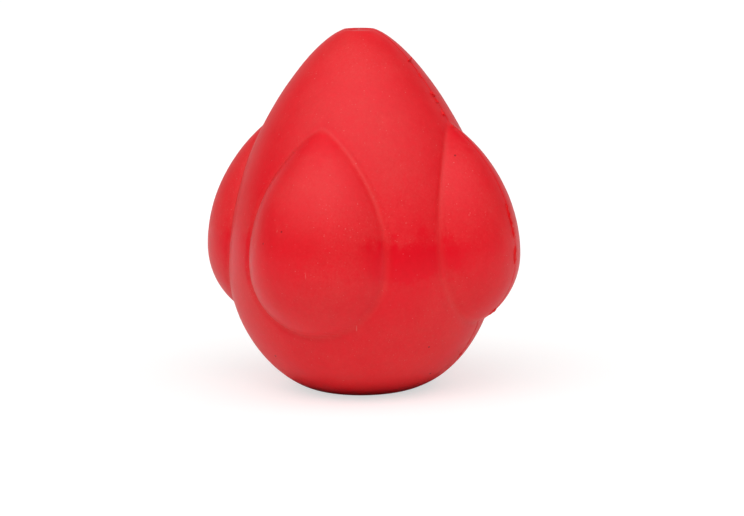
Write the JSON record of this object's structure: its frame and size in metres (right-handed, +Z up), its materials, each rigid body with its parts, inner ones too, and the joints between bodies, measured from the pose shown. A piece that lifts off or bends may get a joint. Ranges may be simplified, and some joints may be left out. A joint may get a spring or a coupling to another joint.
{
  "type": "treat-dispensing chew toy",
  "caption": "Hollow moulded rubber chew toy, pear-shaped with raised teardrop lobes and a round tabbed mouth in its base that holds treats in.",
  "frame": {"origin": "centre of the ring round the mouth, on the plane that the toy stands on", "axes": "+Z up the axis of the body, from the mouth to the nose; +X, +Y, -X and -Y each through the middle of a lobe; the mould's parting plane is the XZ plane"},
  "size_m": [0.098, 0.098, 0.108],
  "materials": {
    "body_rubber": "matt moulded natural rubber with a faint grey bloom",
    "lobe_rubber": "matt moulded natural rubber with a faint grey bloom",
    "tab_rubber": "matt moulded natural rubber, clean cut edges"
  },
  "bodies": {
    "toy_body": {"body_shell": "body_rubber", "lobe_right": "lobe_rubber", "lobe_back": "lobe_rubber", "lobe_left": "lobe_rubber", "lobe_front": "lobe_rubber"},
    "tab_1": {"tab_1": "tab_rubber"},
    "tab_2": {"tab_2": "tab_rubber"},
    "tab_3": {"tab_3": "tab_rubber"},
    "tab_4": {"tab_4": "tab_rubber"}
  },
  "joints": [
    {"name": "tab_1_bend", "type": "hinge", "parent": "toy_body", "child": "tab_1", "pos_m": [0.01071, -0.0039, 0.0048], "axis": [0.342, 0.9397, 0], "range_deg": [-35, 50], "stiffness_Nm_per_rad": 0.03},
    {"name": "tab_2_bend", "type": "hinge", "parent": "toy_body", "child": "tab_2", "pos_m": [0.0039, 0.01071, 0.0048], "axis": [-0.9397, 0.342, 0], "range_deg": [-35, 50], "stiffness_Nm_per_rad": 0.03},
    {"name": "tab_3_bend", "type": "hinge", "parent": "toy_body", "child": "tab_3", "pos_m": [-0.01071, 0.0039, 0.0048], "axis": [-0.342, -0.9397, 0], "range_deg": [-35, 50], "stiffness_Nm_per_rad": 0.03},
    {"name": "tab_4_bend", "type": "hinge", "parent": "toy_body", "child": "tab_4", "pos_m": [-0.0039, -0.01071, 0.0048], "axis": [0.9397, -0.342, 0], "range_deg": [-35, 50], "stiffness_Nm_per_rad": 0.03}
  ]
}
